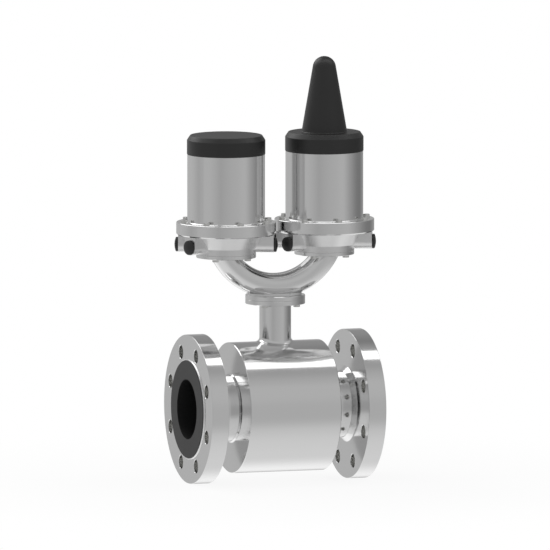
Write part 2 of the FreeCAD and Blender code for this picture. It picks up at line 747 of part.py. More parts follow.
def dome_line(base_r, base_z, top_z):
    """Cone with a round nose: the tangent point, the middle of the nose and its top."""
    slope = math.tan(math.radians(DOME_ANGLE))
    cosine = math.cos(math.radians(DOME_ANGLE))
    sine = math.sin(math.radians(DOME_ANGLE))
    nose_r = (base_r - (top_z - base_z) * slope) / (1 / cosine - slope)
    centre_z = top_z - nose_r
    half_turn = math.radians(45 + DOME_ANGLE / 2)
    tangent = (nose_r * cosine, centre_z + nose_r * sine)
    middle = (nose_r * math.cos(half_turn), centre_z + nose_r * math.sin(half_turn))
    return tangent, middle, (0, top_z)


def antenna_cap():
    """Screw cap with a hollow cone for the antenna, moulded in one piece."""
    top = cap_z + CAP_H
    ceiling = top - CAP_TOP_T
    base_r = DOME_BASE_D / 2
    tangent, middle, tip = dome_line(base_r, top, top + DOME_H)
    inner_tangent, inner_middle, inner_tip = dome_line(base_r - DOME_WALL, ceiling, top + DOME_H - DOME_WALL)
    outline = cap_outside() + [(base_r, top), tangent, middle + tip, inner_tip]
    outline += [inner_middle + inner_tangent, (base_r - DOME_WALL, ceiling)] + cap_inside()
    cap = turned(outline)
    return cap.makeFillet(DOME_FILLET, rims(cap, base_r, top))


# Electronics in the left canister

def board_carrier():
    """Moulded plate on the ledge of the casting, with posts for the two boards."""
    carrier = ring(CARRIER_HOLE_D / 2, carrier_r, carrier_z, plate_z)
    posts = []
    for place in around(4, main_post_circle_r, 45, plate_z - ROOT):
        posts.append(cylinder(MAIN_POST_D / 2, MAIN_BOARD_H + ROOT, place))
    for place in around(4, display_post_circle_r, 0, plate_z - ROOT):
        posts.append(cylinder(DISPLAY_POST_D / 2, display_board_z - plate_z + ROOT, place))
    return carrier.multiFuse(posts).removeSplitter()


def block_on(board_top, component):
    length, width, height, x, y = component
    return box(length, width, height, V(x, y, board_top))


def capacitor_on(board_top, component):
    diameter, height, x, y = component
    return cylinder(diameter / 2, height, V(x, y, board_top))


def main_board():
    """Converter board with its transformer, two capacitors, a relay and a processor."""
    low = main_board_z
    top = low + BOARD_T
    board = cylinder(main_board_r, BOARD_T, V(0, 0, low))
    passages = around(4, display_post_circle_r, 0, low)
    board = drill(board, passages, DISPLAY_POST_D + 2 * SEAT, BOARD_T)
    fitted = [block_on(top, part) for part in (TRANSFORMER, RELAY, PROCESSOR)]
    fitted += [capacitor_on(top, part) for part in CAPACITORS]
    return board.multiFuse(fitted).removeSplitter()


def terminal_block():
    """Screw terminals for the field wires, under the carrier plate."""
    low = carrier_z - TERMINAL_H
    block = box(TERMINAL_L, TERMINAL_W, TERMINAL_H, V(0, 0, low))
    pitch = TERMINAL_L / TERMINAL_WAYS
    ways = []
    screws = []
    for i in range(TERMINAL_WAYS):
        x = (i - (TERMINAL_WAYS - 1) / 2) * pitch
        ways.append(V(x, -TERMINAL_W / 2, low + TERMINAL_WAY_H))
        screws.append(V(x, 0, low))
    block = drill(block, ways, TERMINAL_HOLE_D, TERMINAL_WAY_DEPTH, Y_AXIS)
    return drill(block, screws, TERMINAL_HOLE_D, TERMINAL_SCREW_DEPTH)


def display_board():
    low = display_board_z
    board = cylinder(display_board_r, BOARD_T, V(0, 0, low))
    row_y = DISPLAY_SHIFT - DISPLAY_W / 2 - BUTTON_GAP - BUTTON_W / 2
    buttons = []
    for step in (-1, 0, 1):
        place = V(step * DISPLAY_L / 3, row_y, low + BOARD_T)
        buttons.append(box(BUTTON_L, BUTTON_W, BUTTON_H, place))
    return board.multiFuse(buttons).removeSplitter()


def display_module():
    """Display in its frame, with a recessed window."""
    low = display_board_z + BOARD_T
    module = box(DISPLAY_L, DISPLAY_W, DISPLAY_T, V(0, DISPLAY_SHIFT, low))
    window_l = DISPLAY_L - 2 * DISPLAY_FRAME
    window_w = DISPLAY_W - 2 * DISPLAY_FRAME
    window_z = low + DISPLAY_T - DISPLAY_RECESS
    return module.cut(box(window_l, window_w, DISPLAY_RECESS, V(0, DISPLAY_SHIFT, window_z)))


# Battery pack and modem in the right canister

def cell_places(level):
    return around(4, cell_circle_r, 45, level)


def battery_holder():
    """Moulded tray with a cup round the foot of each cell and a middle post."""
    cup_r = CELL_D / 2 + SEAT
    tray = cylinder(carrier_r, CARRIER_T, V(0, 0, carrier_z))
    cups = [cylinder(cup_r + CUP_WALL, CUP_H + ROOT, p) for p in cell_places(plate_z - ROOT)]
    cups.append(cylinder(POST_D / 2, CELL_H + CLAMP_T + ROOT, V(0, 0, plate_z - ROOT)))
    tray = tray.multiFuse(cups).removeSplitter()
    return drill(tray, cell_places(plate_z), 2 * cup_r, CUP_H)


def battery_cells():
    cells = []
    for place in cell_places(plate_z):
        shoulder = CELL_H - CELL_NIPPLE_H
        cell = turned([
            (0, 0), (CELL_D / 2 - EDGE_BREAK, 0), (CELL_D / 2, EDGE_BREAK),
            (CELL_D / 2, shoulder - EDGE_BREAK), (CELL_D / 2 - EDGE_BREAK, shoulder),
            (CELL_NIPPLE_D / 2, shoulder), (CELL_NIPPLE_D / 2, CELL_H), (0, CELL_H)])
        cells.append(cell.translated(place))
    return Part.makeCompound(cells)


def battery_clamp():
    """Plate that holds the cells down, with three stands for the modem board."""
    low = plate_z + CELL_H
    clamp = ring(POST_D / 2 + FIT, CLAMP_D / 2, low, low + CLAMP_T)
    stands = []
    for place in around(3, MODEM_STAND_CIRCLE_D / 2, 90, low + CLAMP_T - ROOT):
        stands.append(cylinder(MODEM_STAND_D / 2, MODEM_STAND_H + ROOT, place))
    return clamp.multiFuse(stands).removeSplitter()


def modem_board():
    """Round board with a shielded radio module and a card holder."""
    top = modem_z + BOARD_T
    board = cylinder(MODEM_BOARD_D / 2, BOARD_T, V(0, 0, modem_z))
    fitted = [block_on(top, part) for part in (RADIO_MODULE, CARD_HOLDER)]
    fitted.append(capacitor_on(top, MODEM_CAPACITOR))
    return board.multiFuse(fitted).removeSplitter()


def antenna_rod():
    """Rod antenna on its socket in the middle of the modem board."""
    low = modem_z + BOARD_T
    top = cap_z + CAP_H + DOME_H - DOME_WALL - ROD_TIP_GAP
    rod_r = ROD_D / 2
    bend = rod_r * math.sqrt(0.5)
    return turned([
        (0, low), (ROD_FOOT_D / 2, low), (ROD_FOOT_D / 2, low + ROD_FOOT_H), (rod_r, low + ROD_FOOT_H),
        (rod_r, top - rod_r), (bend, top - rod_r + bend, 0, top)])


# Export

def nodes():
    """Every piece by name, in the order of assembly."""
    found = {
        "measuring_pipe": measuring_pipe(),
        "inlet_flange": inlet_flange(),
        "outlet_flange": outlet_flange(),
        "rubber_liner": rubber_liner(),
        "front_electrode": electrode(),
        "rear_electrode": electrode().rotated(ORIGIN, Z_AXIS, 180),
        "front_electrode_bush": electrode_bush(),
        "rear_electrode_bush": electrode_bush().rotated(ORIGIN, Z_AXIS, 180),
        "electrode_nuts": Part.makeCompound([electrode_nut(), electrode_nut().rotated(ORIGIN, Z_AXIS, 180)]),
        "upper_coil": coil(),
        "lower_coil": coil().rotated(ORIGIN, X_AXIS, 180),
        "magnet_yoke": magnet_yoke(),
        "sensor_shell": sensor_shell(),
        "inlet_end_plate": inlet_end_plate(),
        "outlet_end_plate": outlet_end_plate(),
        "neck_tube": neck_tube(),
        "neck_flange": neck_flange(),
        "neck_seal": neck_seal(),
        "neck_bolts": neck_bolts(),
        "manifold_flange": manifold_flange(),
        "manifold_tube": manifold_tube(),
        "foot_bolts": foot_bolts(),
        "canister_screws": canister_screws(),
    }
    pair = {
        "foot_flange": foot_flange(),
        "foot_seal": foot_seal(),
        "base_casting": base_casting(),
        "base_seal": base_seal(),
        "canister_flange": canister_flange(),
        "canister_tube": canister_tube(),
        "threaded_collar": threaded_collar(),
        "cap_seal": cap_seal(),
    }
    places = ["_right_rear", "_left_rear", "_left_front", "_right_front"]
    for side, name in ((-1, "left"), (1, "right")):
        for part, shape in pair.items():
            found[name + "_" + part] = at_canister(shape, side)
        for place, direction in zip(places, port_directions()):
            found[name + "_plug" + place] = at_canister(blanking_plug(direction), side)
    left = {
        "display_lid": display_lid(),
        "board_carrier": board_carrier(),
        "main_board": main_board(),
        "terminal_block": terminal_block(),
        "display_board": display_board(),
        "display_module": display_module(),
    }
    right = {
        "antenna_cap": antenna_cap(),
        "battery_holder": battery_holder(),
        "battery_cells": battery_cells(),
        "battery_clamp": battery_clamp(),
        "modem_board": modem_board(),
        "antenna_rod": antenna_rod(),
    }
    found.update({name: at_canister(shape, -1) for name, shape in left.items()})
    found.update({name: at_canister(shape, 1) for name, shape in right.items()})
    return found


def main():
    os.makedirs("parts", exist_ok=True)
    for name, shape in nodes().items():
        shape.exportStep("parts/" + name + ".step")
        print(name, len(shape.Solids), "solid(s)", round(shape.Volume / 1000, 2), "cm3", shape.isValid())


main()
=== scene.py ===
# %% [markdown]
# # Electromagnetic flow meter
#
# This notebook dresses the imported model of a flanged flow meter: a rubber-lined measuring pipe
# in a round coil housing, a bent manifold tube above it, and two upright canisters, one under a
# flat black cap and one under a black antenna dome.
#
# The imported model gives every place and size. New surfaces are worked out from formulas with
# numpy, in the same frame: the origin is the centre of the measuring pipe, +X runs with the
# flow and +Z up through the neck.

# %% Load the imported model
import json
import math

import bmesh
import bpy
import numpy as np
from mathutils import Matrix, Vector


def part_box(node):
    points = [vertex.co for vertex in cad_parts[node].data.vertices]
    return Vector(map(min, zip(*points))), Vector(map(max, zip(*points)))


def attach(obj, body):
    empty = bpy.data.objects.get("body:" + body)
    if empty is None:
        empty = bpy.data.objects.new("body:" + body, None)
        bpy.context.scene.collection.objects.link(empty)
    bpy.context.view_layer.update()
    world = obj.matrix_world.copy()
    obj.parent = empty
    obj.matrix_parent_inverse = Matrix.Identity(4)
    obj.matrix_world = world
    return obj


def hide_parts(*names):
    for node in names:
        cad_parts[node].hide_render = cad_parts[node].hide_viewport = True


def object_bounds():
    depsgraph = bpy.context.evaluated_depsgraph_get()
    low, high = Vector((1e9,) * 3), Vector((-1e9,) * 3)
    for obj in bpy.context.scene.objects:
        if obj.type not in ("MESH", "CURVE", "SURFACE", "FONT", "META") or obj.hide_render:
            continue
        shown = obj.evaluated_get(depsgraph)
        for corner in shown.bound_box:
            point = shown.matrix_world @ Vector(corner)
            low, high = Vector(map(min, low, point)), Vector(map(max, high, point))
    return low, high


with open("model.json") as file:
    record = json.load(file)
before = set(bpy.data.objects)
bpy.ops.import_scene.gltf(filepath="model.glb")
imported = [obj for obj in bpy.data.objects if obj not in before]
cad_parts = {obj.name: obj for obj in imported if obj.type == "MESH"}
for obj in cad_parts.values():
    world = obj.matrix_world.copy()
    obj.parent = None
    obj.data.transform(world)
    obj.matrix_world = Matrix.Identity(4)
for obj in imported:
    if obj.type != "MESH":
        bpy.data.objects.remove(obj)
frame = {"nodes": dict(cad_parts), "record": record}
cad_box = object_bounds()
mm = 0.001

# %% [markdown]
# ## Where the canisters stand
#
# The canisters are turned about two upright axes, and so are their plates, castings and caps.
# Those axes are needed again and again, so they are read once, from the tubes of the canisters.

# %% Canister axes
sides = ("left", "right")
canister_x, tube_r = {}, {}
for side in sides:
    low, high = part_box(side + "_canister_tube")
    canister_x[side] = (low.x + high.x) / 2
    tube_r[side] = (high.x - canister_x[side]) / mm
print("canisters stand at x =", {side: round(x, 5) for side, x in canister_x.items()})

# %% [markdown]
# ## Helpers for materials
#
# A colour is written as an sRGB hex value, the way a colour picker shows it. Blender's shaders
# work in linear light, so one function turns it. Every node is added by one function too: its
# own fields are given by name, and a value for a socket is either a constant or another
# node's output, which is then linked.

# %% Colour and node helpers
def linear(code):
    """sRGB hex to linear red, green, blue and an alpha of 1.
    A channel c up to 0.04045 is c / 12.92, and above it ((c + 0.055) / 1.055) to the power 2.4."""
    channels = np.array([int(code[i:i + 2], 16) for i in (1, 3, 5)]) / 255
    light = np.where(channels <= 0.04045, channels / 12.92, ((channels + 0.055) / 1.055) ** 2.4)
    return (*light.tolist(), 1.0)


def add_node(tree, kind, inputs=None, **fields):
    """Adds a node, sets its fields, and gives each named or numbered socket a value or a link."""
    made = tree.nodes.new(kind)
    for field, value in fields.items():
        setattr(made, field, value)
    for key, value in (inputs or {}).items():
        if isinstance(value, bpy.types.NodeSocket):
            tree.links.new(value, made.inputs[key])
        else:
            made.inputs[key].default_value = value
    return made


def new_material(name):
    """An empty material with its Principled shader joined to its output."""
    material = bpy.data.materials.new(name)
    material.use_nodes = True
    tree = material.node_tree
    tree.nodes.clear()
    shader = add_node(tree, "ShaderNodeBsdfPrincipled")
    add_node(tree, "ShaderNodeOutputMaterial", {"Surface": shader.outputs["BSDF"]})
    return material, tree, shader


print("white is", linear("#FFFFFF"), "and mid grey", linear("#808080"))

# %% [markdown]
# ## Polished stainless steel
#
# The flanges, housing, tubes and castings are all AISI 316L, machined and then polished bright.
# A polished metal shows the studio: its own colour only tints the reflection. What tells it
# from chrome is a slightly soft reflection and the faint marks of the lathe or the polishing
# belt, which run round the piece. Their real spacing is a few tenths of a millimetre, too fine
# to show at this distance, so they are drawn about 1.2 mm apart and very shallow.
#
# The marks are noise on two coordinates only: the distance from the axis of turning and the
# place along it. That makes rings on a flat face and hoops on a cylinder, with one formula.

# %% Places round an axis
def round_axis(tree, place, axis, axis_x):
    """Distance from an axis that meets y = z = 0 at axis_x, and the place along it. The place
    along is the dot product with the axis, and the distance is the length of what is left when
    that part is set to nothing."""
    along = np.array([axis == "X", 0.0, axis == "Z"], float)
    centred = add_node(tree, "ShaderNodeMapping",
                       {"Vector": place, "Location": (-axis_x, 0.0, 0.0)}).outputs[0]
    across = add_node(tree, "ShaderNodeVectorMath", {0: centred, 1: (1 - along).tolist()},
                      operation="MULTIPLY").outputs[0]
    distance = add_node(tree, "ShaderNodeVectorMath", {0: across}, operation="LENGTH")
    height = add_node(tree, "ShaderNodeVectorMath", {0: centred, 1: along.tolist()},
                      operation="DOT_PRODUCT")
    return distance.outputs["Value"], height.outputs["Value"]


print("marks of turning follow the distance from an axis and the place along it")

# %% [markdown]
# The steel itself is one metallic shader. The marks go to its bump, and a second, much larger
# noise lets the polish vary by 15 percent from place to place, as hand polishing does. Its
# roughness of 0.12 to 0.14 is what keeps the mirrored studio a little soft.

# %% Polished steel
def polished_steel(name, colour, axis, axis_x, roughness, marks_mm=1.2, depth_mm=0.004,
                   satin_below=None):
    """Steel turned or belted about an axis, with marks marks_mm apart and depth_mm deep. Below
    the height satin_below, in metres, it is left satin, as a blasted casting is where no tool
    reaches."""
    cloud_mm, vary = 45, 0.15
    material, tree, shader = new_material(name)
    place = add_node(tree, "ShaderNodeTexCoord").outputs["Object"]
    distance, height = round_axis(tree, place, axis, axis_x)
    pair = add_node(tree, "ShaderNodeCombineXYZ", {0: distance, 1: height}).outputs[0]
    marks = add_node(tree, "ShaderNodeTexNoise", {"Vector": pair, "Scale": 1 / (marks_mm * mm),
                     "Detail": 3.0, "Roughness": 0.6}).outputs[0]
    clouds = add_node(tree, "ShaderNodeTexNoise",
                      {"Vector": place, "Scale": 1 / (cloud_mm * mm), "Detail": 2.0}).outputs[0]
    finish = add_node(tree, "ShaderNodeMapRange",
                      {"Value": clouds, "From Min": 0.3, "From Max": 0.7,
                       "To Min": roughness * (1 - vary),
                       "To Max": roughness * (1 + vary)}).outputs[0]
    if satin_below:
        satin, blend = 0.30, 0.3 * mm
        level = add_node(tree, "ShaderNodeSeparateXYZ", {0: place}).outputs["Z"]
        machined = add_node(tree, "ShaderNodeMapRange",
                            {"Value": level, "From Min": satin_below - blend,
                             "From Max": satin_below + blend}).outputs[0]
        finish = add_node(tree, "ShaderNodeMix",
                          {"Factor": machined, 2: satin, 3: finish}).outputs[0]
    bump = add_node(tree, "ShaderNodeBump",
                    {"Height": marks, "Strength": 0.35, "Distance": depth_mm * mm}).outputs[0]
    shader.inputs["Base Color"].default_value = linear(colour)
    shader.inputs["Metallic"].default_value = 1.0
    tree.links.new(finish, shader.inputs["Roughness"])
    tree.links.new(bump, shader.inputs["Normal"])
    return material


print("steel marks are drawn 1.2 mm apart")

# %% [markdown]
# ## One steel for each axis
#
# A piece's marks have to run round its own axis, so each axis has a steel of its own. The two
# castings are machined on the ring that carries the canister and satin below it. Screws and
# bolts are cold-formed and only tumbled, so they mirror more softly and look a little greyer.
# A drilled hole is left as cut, rougher because no belt reaches it, and its steel is a little
# darker as painted shade for the inside of the hole. The protection rings are ground, which makes
# them the palest steel on the meter.

# %% The steels
polish = "#E7E7E7"
ring_height = 14.3 * mm
ring_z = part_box("left_canister_flange")[0].z - ring_height
steel = {
    "pipe": polished_steel("polished stainless, turned about the pipe", polish, "X", 0, 0.12),
    "neck": polished_steel("polished stainless, turned about the neck", polish, "Z", 0, 0.14),
    "fastener": polished_steel("cold-formed stainless, fasteners", "#DCDCDA", "Z", 0, 0.22,
                               marks_mm=0.8, depth_mm=0.006),
    # Rougher as cut, and a little darker than the polish: painted shade for the inside of the bolt
    # holes.
    "drilled": polished_steel("drilled stainless as cut, with painted shade", "#DEDEDC", "X", 0, 0.27),
    "ground": polished_steel("stainless protection ring, ground bright", "#FFFFFF", "X", 0, 0.32),
}
for side in sides:
    steel[side] = polished_steel("polished stainless, %s canister" % side, polish, "Z",
                                 canister_x[side], 0.13)
    steel[side + " casting"] = polished_steel("cast stainless, %s casting" % side, polish, "Z",
                                              canister_x[side], 0.13, satin_below=ring_z)
print("steels:", ", ".join(sorted(steel)))

# %% [markdown]
# ## Zones of a second colour
#
# Some pieces have a second colour in one zone: a painted shade that darkens the bore, where little
# light reaches in, the components on a circuit board, the frame of a display. They could be cut
# apart and given two materials. A zone is simpler: a small function of the place on the piece that
# gives 1 where the second colour holds and 0 elsewhere, made of two or three nodes.

# %% Zones
def within_radius(radius_mm):
    """1 nearer to the pipe's axis than the radius, falling to 0 over the last 0.8 mm. The
    distance from the axis is the length of (0, y, z)."""
    fade_mm = 0.8

    def share(tree, place):
        across = add_node(tree, "ShaderNodeVectorMath", {0: place, 1: (0, 1, 1)},
                          operation="MULTIPLY").outputs[0]
        radius = add_node(tree, "ShaderNodeVectorMath", {0: across}, operation="LENGTH")
        return add_node(tree, "ShaderNodeMapRange",
                        {"Value": radius.outputs["Value"],
                         "From Min": (radius_mm - fade_mm) * mm,
                         "From Max": radius_mm * mm, "To Min": 1.0, "To Max": 0.0}).outputs[0]
    return share


def above_height(height):
    """1 above a height in metres, 0 below it."""
    def share(tree, place):
        level = add_node(tree, "ShaderNodeSeparateXYZ", {0: place}).outputs["Z"]
        return add_node(tree, "ShaderNodeMath", {0: level, 1: height},
                        operation="GREATER_THAN").outputs[0]
    return share


def off_level(height):
    """0 on faces that lie within 0.2 mm of a height in metres, 1 elsewhere."""
    within = 0.2 * mm

    def share(tree, place):
        level = add_node(tree, "ShaderNodeSeparateXYZ", {0: place}).outputs["Z"]
        on_it = add_node(tree, "ShaderNodeMath", {0: level, 1: height, 2: within},
                         operation="COMPARE").outputs[0]
        return add_node(tree, "ShaderNodeMath", {0: 1.0, 1: on_it},
                        operation="SUBTRACT").outputs[0]
    return share


print("zones: within a radius, above a height, off a level")

# %% [markdown]
# ## Plastics and rubbers
#
# Rubber, moulded plastic, plated and lacquered pieces all start from the same recipe: a base
# colour that varies a little, a roughness, and a fine bump. The size of the bump is what tells
# them apart. The grain of a spark-eroded mould is a tenth or two of a millimetre, too fine to
# show from here, so it is drawn at 0.6 mm. Lining rubber has a softer skin, drawn at 0.9 mm.

# %% Moulded finishes
def moulded(name, colour, roughness, grain_mm, depth_mm, ior=1.5, metallic=0.0, second=None,
            zone=None):
    """Base colour times 0.88 to 1.12 in soft clouds, with a grain of grain_mm raised by depth_mm.
    Where zone gives 1 the colour is the second one."""
    material, tree, shader = new_material(name)
    shade, cloud_mm = 0.12, 30
    place = add_node(tree, "ShaderNodeTexCoord").outputs["Object"]
    grain = add_node(tree, "ShaderNodeTexNoise",
                     {"Vector": place, "Scale": 1 / (grain_mm * mm), "Detail": 2.0}).outputs[0]
    clouds = add_node(tree, "ShaderNodeTexNoise",
                      {"Vector": place, "Scale": 1 / (cloud_mm * mm), "Detail": 2.0}).outputs[0]
    base = np.array(linear(colour))
    dark = (base[:3] * (1 - shade)).tolist() + [1.0]
    light = (base[:3] * (1 + shade)).tolist() + [1.0]
    tone = add_node(tree, "ShaderNodeMix", {"Factor": clouds, 6: dark, 7: light},
                    data_type="RGBA").outputs[2]
    if zone:
        tone = add_node(tree, "ShaderNodeMix",
                        {"Factor": zone(tree, place), 6: tone, 7: linear(second)},
                        data_type="RGBA").outputs[2]
    bump = add_node(tree, "ShaderNodeBump",
                    {"Height": grain, "Strength": 0.5, "Distance": depth_mm * mm}).outputs[0]
    shader.inputs["Roughness"].default_value = roughness
    shader.inputs["IOR"].default_value = ior
    shader.inputs["Metallic"].default_value = metallic
    tree.links.new(tone, shader.inputs["Base Color"])
    tree.links.new(bump, shader.inputs["Normal"])
    return material


print("a moulded finish varies by 12 percent about its colour")

# %% [markdown]
# ## The finishes of the meter
#
# Outside, only three are seen. The caps come from a spark-eroded mould, whose grain breaks every
# highlight, so they look matt. The plugs are smoother rubber with a faint sheen. The lining is
# dull and grey-black at its lips, and in the bore it is painted near-black, as painted shade for
# the little light that reaches in.
#
# Off the meter or under its caps come the others: dull black nitrile rings, the warm gloss of
# enamelled wire, dull sheet steel, tan PEEK, nylon that its glass fibres leave a little rough,
# smooth green terminals, tight blue sleeves, bright plated brass, glossy green lacquer with
# black components on it, and a display behind a smooth, glossy window in a black frame.

# %% Finishes
frame_t, bore_shade_r = 1.2 * mm, 41.0
window_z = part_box("display_module")[1].z - frame_t
plain = {
    "cap": moulded("ABS, moulded black", "#181818", 0.42, 0.6, 0.02, 1.54),
    # Within the bore radius the lining gets a near-black second colour: painted shade where little
    # light reaches in.
    "liner": moulded("lining rubber, black", "#303030", 0.55, 0.9, 0.02, 1.52,
                     second="#090909", zone=within_radius(bore_shade_r)),
    "seal": moulded("nitrile rubber, black", "#262626", 0.6, 0.5, 0.02, 1.52),
    "plug": moulded("EPDM rubber, black", "#1E1E1E", 0.5, 0.5, 0.02),
    "copper": moulded("enamelled copper wire", "#A5582F", 0.32, 0.5, 0.05, metallic=1.0),
    "iron": moulded("electrical sheet steel", "#8A8D90", 0.38, 0.5, 0.02, metallic=1.0),
    "insulator": moulded("PEEK, natural", "#B9A98A", 0.45, 0.5, 0.01, 1.67),
    "carrier": moulded("glass-filled nylon, dark grey", "#3B3E40", 0.5, 0.6, 0.02, 1.53),
    "terminal": moulded("polyamide, green", "#2C6B43", 0.4, 0.6, 0.02, 1.53),
    "sleeve": moulded("shrunk PVC sleeve, blue", "#2F5F9C", 0.3, 0.8, 0.01, 1.54),
    "brass": moulded("plated brass", "#C6A15B", 0.28, 0.4, 0.01, metallic=1.0),
    "figures": moulded("liquid crystal figures, dark", "#10150F", 0.3, 1.0, 0.0),
    "screen": moulded("liquid crystal display in a black frame", "#8C9A82", 0.12, 2.0, 0.0,
                      second="#17191A", zone=off_level(window_z)),
}
board_top = 1.65 * mm
board_finish = {
    node: moulded("solder resist with black components, " + node.replace("_", " "), "#1B5E36",
                  0.35, 0.7, 0.03, second="#1C1E20",
                  zone=above_height(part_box(node)[0].z + board_top))
    for node in ("main_board", "display_board", "modem_board")}
print(len(plain) + len(board_finish), "finishes that aren't stainless steel")

# %% [markdown]
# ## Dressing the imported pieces
#
# The record names a material slot for each piece. A slot of steel isn't enough to choose by,
# because the marks need the right axis, so steel goes by the name of the piece.

# %% Dress the CAD nodes
finish_of = {
    "liner_rubber": plain["liner"], "seal_rubber": plain["seal"],
    "black_rubber_plug": plain["plug"], "black_plastic": plain["cap"],
    "copper_winding": plain["copper"], "electrical_steel": plain["iron"],
    "insulating_plastic": plain["insulator"], "carrier_plastic": plain["carrier"],
    "terminal_plastic": plain["terminal"], "display": plain["screen"],
    "cell_sleeve": plain["sleeve"], "antenna_brass": plain["brass"],
    "bolt_steel": steel["fastener"],
}


def steel_for(node):
    """The steel turned about the axis that this node was turned about."""
    if node.endswith("_base_casting"):
        return steel[node.split("_")[0] + " casting"]
    for side in sides:
        if node.startswith(side):
            return steel[side]
    return steel["neck" if node.startswith(("neck", "manifold")) else "pipe"]


for part in frame["record"]["subparts"]:
    node, slot = part["node"], part["material_slot"]
    mesh = frame["nodes"][node].data
    mesh.materials.clear()
    mesh.materials.append(finish_of.get(slot) or board_finish.get(node) or steel_for(node))

# %% [markdown]
# ## Surfaces from formulas
#
# Nearly every piece of this meter is turned, so its surface is an outline carried round an
# axis. In Blender that could be a Screw modifier or the Spin tool; here it is one numpy
# expression, because then a face with bolt holes can share the points of its rim.
#
# Real edges are never quite sharp. A machinist breaks them, and a mould has a small radius, and
# that narrow round is what catches the light. So the corners of each outline are rounded first.

# %% Outlines
def rounded(points, set_back, closed=True, steps=5):
    """Rounds the corners of an outline. At a corner P with A and B set_back away along its two
    legs the line follows (1-t)^2 A + 2t(1-t) P + t^2 B, and one more point on each leg, at hold
    times set_back, keeps the flats flat."""
    points, hold = np.array(points, float), 1.5
    reach = np.broadcast_to(np.asarray(set_back, float), len(points))[:, None]

    def leg(shift):
        along = np.roll(points, shift, axis=0) - points
        return along / np.maximum(np.linalg.norm(along, axis=1, keepdims=True), 1e-9)

    before, after = leg(1) * reach, leg(-1) * reach
    t = np.linspace(0, 1, steps)[:, None, None]
    curve = (1 - t) ** 2 * (points + before) + 2 * t * (1 - t) * points + t ** 2 * (points + after)
    held = np.concatenate([(points + before * hold)[None], curve, (points + after * hold)[None]])
    line = held.transpose(1, 0, 2).reshape(-1, 2)
    if not closed:
        line = np.concatenate([points[:1], line[len(held):-len(held)], points[-1:]])
    moved = np.linalg.norm(np.diff(line, axis=0), axis=1) > 1e-4
    return line[np.concatenate([[True], moved])]


corner = rounded([(0, 0), (1, 0), (1, 1)], 0.2, closed=False)
print("a rounded corner takes", len(corner), "points")

# %% [markdown]
# A surface is a grid of points with a number of rows and columns, and its faces follow from the
# grid alone. The points are in millimetres, made about +Z, and are then turned to lie about the
# axis of their piece.

# %% Grids
def turned(outline, steps):
    """Each outline point (r, h) goes round the axis: (r cos a, r sin a, h)."""
    angle = np.linspace(0, 2 * np.pi, steps, endpoint=False)
    r, h = outline[:, :1], outline[:, 1:]
    return np.stack([r * np.cos(angle), r * np.sin(angle), h + 0 * angle], axis=-1)


def quads(rows, columns, close_rows=True):
    """Corner numbers of every quad of a grid. The last column joins the first, and so does the
    last row where close_rows says so: quad (i, j) has i * columns + j as its first corner."""
    i, j = np.mgrid[0:rows - (not close_rows), 0:columns].reshape(2, -1)
    i_next, j_next = (i + 1) % rows, (j + 1) % columns
    return np.stack([i * columns + j, i * columns + j_next, i_next * columns + j_next,
                     i_next * columns + j], 1)


def pointing(points, axis, origin):
    """Turns points made about +Z to lie about axis, by the shortest rotation, and then adds
    origin to each."""
    turn = np.array(Vector((0, 0, 1)).rotation_difference(Vector(axis)).to_matrix())
    return points @ turn.T + np.array(origin)


def upright(outline, side, base_mm):
    """An outline closed in itself, turned about the axis of a canister from a base height."""
    steps = 144
    points = pointing(turned(outline, steps), (0, 0, 1), (canister_x[side] / mm, 0, base_mm))
    return [(points, quads(len(outline), steps))]


print("a ring of 4 points in 8 steps has", len(quads(4, 8)), "quads")

# %% [markdown]
# ## From grids to a piece
#
# Where two grids meet, or an outline touches its axis, points fall on each other. Merging them
# closes seams and poles. An outline that runs along its axis leaves an edge with no face there,
# which is deleted. Then the faces are turned outwards, the surface is shaded smooth, and edges
# sharper than 30 degrees are marked sharp.

# %% Make a piece
def make_piece(name, grids, material, body, replaced=()):
    """Joins grids of (points in mm, quads) into one closed mesh that rides on a body."""
    starts = np.cumsum([0] + [points.reshape(-1, 3).shape[0] for points, faces in grids])
    corners = np.concatenate([points.reshape(-1, 3) for points, faces in grids]) * mm
    faces = np.concatenate([faces + start for (points, faces), start in zip(grids, starts)])
    mesh = bpy.data.meshes.new(name)
    mesh.from_pydata(corners.tolist(), [], faces.tolist())
    welded = bmesh.new()
    welded.from_mesh(mesh)
    bmesh.ops.remove_doubles(welded, verts=welded.verts, dist=2e-6)
    bmesh.ops.dissolve_degenerate(welded, edges=welded.edges, dist=1e-7)
    bmesh.ops.delete(welded, geom=[edge for edge in welded.edges if not edge.link_faces],
                     context="EDGES")
    bmesh.ops.recalc_face_normals(welded, faces=welded.faces)
    open_edges = sum(not edge.is_manifold for edge in welded.edges)
    welded.to_mesh(mesh)
    welded.free()
    mesh.shade_smooth()
    mesh.set_sharp_from_angle(angle=math.radians(30))
    mesh.materials.append(material)
    piece = bpy.data.objects.new(name, mesh)
    bpy.context.scene.collection.objects.link(piece)
    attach(piece, body)
    if replaced:
        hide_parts(*replaced)
    print(name, len(mesh.polygons), "faces,", open_edges, "open edges")
    return piece


print("every piece is welded to within 0.002 mm and shaded smooth up to 30 degrees")

# %% [markdown]
# ## The two pipe flanges
#
# Each flange is a steel disc with eight bolt holes, welded to the pipe with a fillet behind. It
# could be cut out with Boolean modifiers. A grid is cleaner: each face is cut into eight equal
# sectors, one to a hole. A sector's surface runs straight from a point of the hole's circle to
# the matching point on the sector's border, so every face is a tidy quad and no edge is ragged.

# %% Sectors of a drilled disc
bolt_count, bolt_circle_r, hole_r, hole_break = 8, 80.0, 9.0, 0.6
sector, half_sector = 360 / bolt_count, 180 / bolt_count
arc_steps, side_steps = 24, 12


